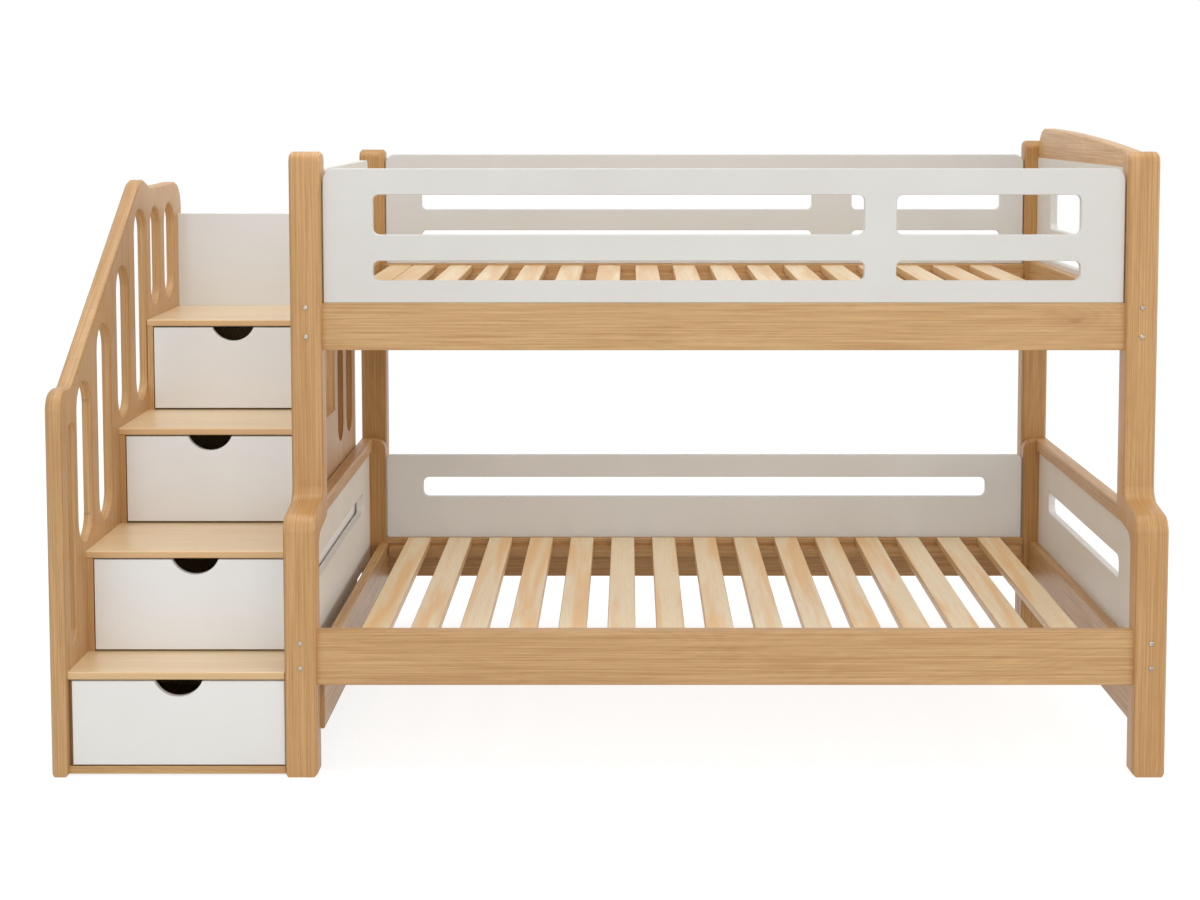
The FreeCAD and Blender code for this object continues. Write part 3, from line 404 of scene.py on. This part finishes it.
# material: what the names of its nodes start with
FINISHES = (
    ("timber_z", ("front_post_",)),
    ("rear_z_painted_shade", ("rear_post_", "lower_rear_leg_")),
    ("timber_y", ("lower_end_rail_", "lower_end_cap_", "upper_end_rail_", "upper_end_cap_")),
    ("timber_x", ("lower_front_rail", "upper_front_rail", "upper_rear_rail", "lower_rear_rail",
                  "slat_ledgers", "stair_base_strip")),
    ("board_z", ("stair_railing", "cabinet_side_", "stair_bed_side_board")),
    ("step_x", ("tread_",)),
    ("slat_y", ("lower_slats",)),
    ("top_slat_y", ("upper_slats",)),
    ("guard_painted_shade", ("upper_front_guard", "upper_end_guard_left", "upper_end_panel_right")),
    ("rear_guard_painted_shade", ("upper_rear_guard",)),
    ("off_white_paint", ("drawer_1_front", "lower_end_panel_")),
    ("slot_painted_light", ("stair_bed_side_panel",)),
    ("back_panel_painted_cool", ("stair_back_panel", "lower_back_panel")),
    ("box_y", ("cabinet_bottom",)),
    ("nickel_steel", ("drawer_channels",)),
)
# material of the rest of a drawer, by the last word of a node's name
# drawer fronts get the painted light white
DRAWER_FINISHES = {"front": "drawer_painted_light", "sides": "box_y", "back": "box_y", "bottom": "box_y",
                   "slides": "nickel_steel"}


def finish_of(name):
    for finish, starts in FINISHES:
        if name.startswith(starts):
            return finish
    return DRAWER_FINISHES[name.split("_")[-1]]


materials = {name: wood(name, kind) for name, kind in WOODS.items()}
materials.update({name: paint(name, *tints) for name, tints in PAINTS.items()})
materials.update({name: metal(name, *tints) for name, tints in METALS.items()})

for name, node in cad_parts.items():
    node.data.materials.clear()
    node.data.materials.append(materials[finish_of(name)])

# ---------------------------------------------------------------------------- softened edges

SHARP_ANGLE = math.radians(50)
WELD_DISTANCE = 0.00002
FULL_FACE_WEIGHT = 100


def soft_edge_group():
    """Joins the faces of a mesh and shades them smooth, but for edges above the sharp angle."""
    group = bpy.data.node_groups.new("soft_edges", "GeometryNodeTree")
    group.interface.new_socket("Geometry", in_out="INPUT", socket_type="NodeSocketGeometry")
    group.interface.new_socket("Geometry", in_out="OUTPUT", socket_type="NodeSocketGeometry")
    nodes, links = group.nodes, group.links

    steps = []
    for attribute in ("custom_normal", "sharp_edge"):
        plain = nodes.new("GeometryNodeRemoveAttribute")
        plain.inputs["Name"].default_value = attribute
        steps.append(plain)
    weld = nodes.new("GeometryNodeMergeByDistance")
    weld.inputs["Distance"].default_value = WELD_DISTANCE
    smooth = nodes.new("GeometryNodeSetShadeSmooth")
    smooth.domain = "FACE"
    sharp = nodes.new("GeometryNodeSetShadeSmooth")
    sharp.domain = "EDGE"
    sharp.inputs["Shade Smooth"].default_value = False
    steps += [weld, smooth, sharp]

    flow = nodes.new("NodeGroupInput").outputs[0]
    for step in steps:
        links.new(flow, step.inputs["Geometry"])
        flow = step.outputs["Geometry"]
    links.new(flow, nodes.new("NodeGroupOutput").inputs[0])

    angle = nodes.new("GeometryNodeInputMeshEdgeAngle")
    steep = nodes.new("ShaderNodeMath")
    steep.operation = "GREATER_THAN"
    steep.inputs[1].default_value = SHARP_ANGLE
    links.new(angle.outputs["Unsigned Angle"], steep.inputs[0])
    links.new(steep.outputs["Value"], sharp.inputs["Selection"])
    return group


def soften_edges(node, group):
    """Makes bevelled edges look round: big faces stay flat and the bevels bend between them."""
    welded = node.modifiers.new("soft_edges", "NODES")
    welded.node_group = group
    weighted = node.modifiers.new("flat_faces", "WEIGHTED_NORMAL")
    weighted.keep_sharp = True
    weighted.weight = FULL_FACE_WEIGHT


edge_group = soft_edge_group()
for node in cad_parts.values():
    soften_edges(node, edge_group)

# ---------------------------------------------------------------------------- bolts

BOLT_HEAD_RADIUS = 0.0065
BOLT_HEAD_TALL = 0.004
SOCKET_RADIUS = 0.0030
SOCKET_DEEP = 0.0022
SOCKET_RIM = 0.96  # where the socket starts, as a share of the head's height
BOLT_SIDES = 36
# how far the post's face stands back from its foot, and the heights of the bolts in it
BOLT_ROWS = ((0.0, (0.272, 0.334)), (0.150, (1.072, 1.145)))
# outline of a head from its rim to the edge of the socket, as shares of its radius and height
HEAD_OUTLINE = (
    (1.00, 0.00), (1.00, 0.22), (0.96, 0.42), (0.88, 0.62), (0.76, 0.80), (0.62, 0.93),
    (0.52, 0.985), (0.49, 0.97),
)


def bolt_turns():
    return [2 * math.pi * step / BOLT_SIDES for step in range(BOLT_SIDES)]


def hexagon_reach(turn):
    """Distance from a hexagon's middle to its outline, for a hexagon of corner radius 1."""
    side = math.pi / 3
    within = (turn % side) - side / 2
    return math.cos(side / 2) / math.cos(within)


def add_ring(points, x, y, z, reaches):
    """Adds an upright ring of points that faces the front, one for each turn and its reach."""
    ring = []
    for turn, reach in zip(bolt_turns(), reaches):
        ring.append(len(points))
        points.append((x + reach * math.cos(turn), y, z + reach * math.sin(turn)))
    return ring


def bolt_head(points, faces, x, y, z):
    """A domed head with a six-sided socket in its middle."""
    rings = [add_ring(points, x, y - BOLT_HEAD_TALL * height, z,
                      [BOLT_HEAD_RADIUS * radius] * BOLT_SIDES)
             for radius, height in HEAD_OUTLINE]
    socket_reaches = [SOCKET_RADIUS * hexagon_reach(turn) for turn in bolt_turns()]
    rings += [add_ring(points, x, y - BOLT_HEAD_TALL * SOCKET_RIM + deep, z, socket_reaches)
              for deep in (0.0, SOCKET_DEEP)]
    for lower, upper in zip(rings, rings[1:]):
        for step in range(BOLT_SIDES):
            after = (step + 1) % BOLT_SIDES
            faces.append((lower[step], lower[after], upper[after], upper[step]))
    faces.append(tuple(rings[-1]))


def all_bolt_heads():
    points, faces = [], []
    for post in ("front_post_left", "front_post_right"):
        low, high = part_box(post)
        for set_back, heights in BOLT_ROWS:
            for z in heights:
                bolt_head(points, faces, (low[0] + high[0]) / 2, low[1] + set_back, z)
    mesh = bpy.data.meshes.new("bolt_heads")
    mesh.from_pydata(points, [], faces)
    mesh.update()
    heads = bpy.data.objects.new("bolt_heads", mesh)
    bpy.context.collection.objects.link(heads)
    mesh.materials.append(materials["bolt_steel"])
    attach(heads, "bed_and_stairs")


all_bolt_heads()

# ---------------------------------------------------------------------------- studio

WHITE = (1.0, 1.0, 1.0, 1.0)
WHITE_STRENGTH = 1.0
AMBIENT_STRENGTH = 0.58

FLOOR_REACH = 14.0
FLOOR_LEVEL = -0.0005
FLOOR_TONE = (0.80, 0.80, 0.80, 1.0)
# what the camera sees of the floor: a glow that is nearly white, and a shade of the light on it
FLOOR_GLOW = 0.84
FLOOR_SHADE = (0.30, 0.30, 0.30, 1.0)

# name, place, the point it looks at, width and height in metres, watts
LAMPS = (
    ("overhead", (-0.2, -0.6, 4.6), (0.0, 0.0, 0.6), (4.5, 3.5), 98.0),
    ("front_high", (0.3, -6.0, 4.4), (0.0, 0.0, 0.4), (5.0, 2.2), 24.0),
    ("front_low", (0.2, -7.6, 1.9), (0.0, 0.0, 0.5), (6.0, 2.0), 64.0),
    ("front_left", (-4.0, -4.6, 1.8), (0.0, 0.0, 0.5), (2.4, 2.0), 12.0),
    ("front_right", (4.0, -4.6, 1.8), (0.0, 0.0, 0.5), (2.4, 2.0), 22.0),
    ("right_side", (9.0, 0.1, 2.7), (0.0, 0.1, 0.5), (2.4, 1.8), 165.0),
)


def seen_directly(tree):
    """1 for rays from the camera and for reflections, 0 for the light that falls on things."""
    path = tree.nodes.new("ShaderNodeLightPath")
    total = path.outputs["Is Camera Ray"]
    for entry in ("Is Glossy Ray", "Is Transmission Ray"):
        larger = tree.nodes.new("ShaderNodeMath")
        larger.operation = "MAXIMUM"
        tree.links.new(total, larger.inputs[0])
        tree.links.new(path.outputs[entry], larger.inputs[1])
        total = larger.outputs["Value"]
    return total


def cleared(tree):
    tree.nodes.clear()
    return tree


def light_source(tree, kind, strength):
    """A white background or emission node; returns its output."""
    made = tree.nodes.new(kind)
    made.inputs["Color"].default_value = WHITE
    made.inputs["Strength"].default_value = strength
    return made.outputs[0]


def matt(tree, tone):
    made = tree.nodes.new("ShaderNodeBsdfDiffuse")
    made.inputs["Color"].default_value = tone
    return made.outputs["BSDF"]


def show(tree, output_kind, to_light, to_camera):
    """Ends a tree: the light meets the first shader, the camera and reflections the second."""
    mixed = tree.nodes.new("ShaderNodeMixShader")
    output = tree.nodes.new(output_kind)
    tree.links.new(seen_directly(tree), mixed.inputs["Fac"])
    tree.links.new(to_light, mixed.inputs[1])
    tree.links.new(to_camera, mixed.inputs[2])
    tree.links.new(mixed.outputs["Shader"], output.inputs["Surface"])


def make_world():
    world = bpy.data.worlds.new("studio")
    bpy.context.scene.world = world
    world.use_nodes = True
    tree = cleared(world.node_tree)
    show(tree, "ShaderNodeOutputWorld",
         light_source(tree, "ShaderNodeBackground", AMBIENT_STRENGTH),
         light_source(tree, "ShaderNodeBackground", WHITE_STRENGTH))


def make_floor():
    """A pale floor that looks almost white and keeps a soft shadow."""
    corners = [(x * FLOOR_REACH, y * FLOOR_REACH, FLOOR_LEVEL)
               for x, y in ((-1, -1), (1, -1), (1, 1), (-1, 1))]
    mesh = bpy.data.meshes.new("floor")
    mesh.from_pydata(corners, [], [(0, 1, 2, 3)])
    floor = bpy.data.objects.new("floor", mesh)
    bpy.context.collection.objects.link(floor)
    material = bpy.data.materials.new("pale_floor")
    material.use_nodes = True
    tree = cleared(material.node_tree)
    both = tree.nodes.new("ShaderNodeAddShader")
    tree.links.new(matt(tree, FLOOR_SHADE), both.inputs[0])
    tree.links.new(light_source(tree, "ShaderNodeEmission", FLOOR_GLOW), both.inputs[1])
    show(tree, "ShaderNodeOutputMaterial", matt(tree, FLOOR_TONE), both.outputs["Shader"])
    mesh.materials.append(material)


def lamp(name, spot, target, size, watts):
    data = bpy.data.lights.new(name, "AREA")
    data.shape = "RECTANGLE"
    data.size, data.size_y = size
    data.energy = watts
    made = bpy.data.objects.new(name, data)
    bpy.context.collection.objects.link(made)
    made.location = spot
    made.rotation_euler = (Vector(target) - Vector(spot)).to_track_quat("-Z", "Y").to_euler()


make_world()
make_floor()
for row in LAMPS:
    lamp(*row)

# ---------------------------------------------------------------------------- camera

CAMERA_PLACE = (0.0527, -5.8088, 1.6326)
CAMERA_LENS = 62.575
CAMERA_TILT = math.radians(4.357)
CAMERA_SHIFT = (-0.0248, -0.150)

camera_data = bpy.data.cameras.new("photo_camera")
camera_data.lens = CAMERA_LENS
camera_data.shift_x, camera_data.shift_y = CAMERA_SHIFT
camera = bpy.data.objects.new("photo_camera", camera_data)
bpy.context.collection.objects.link(camera)
camera.location = CAMERA_PLACE
camera.rotation_euler = (math.pi / 2 - CAMERA_TILT, 0.0, 0.0)
bpy.context.scene.camera = camera

bpy.context.scene.view_settings.view_transform = "Standard"
write_size()
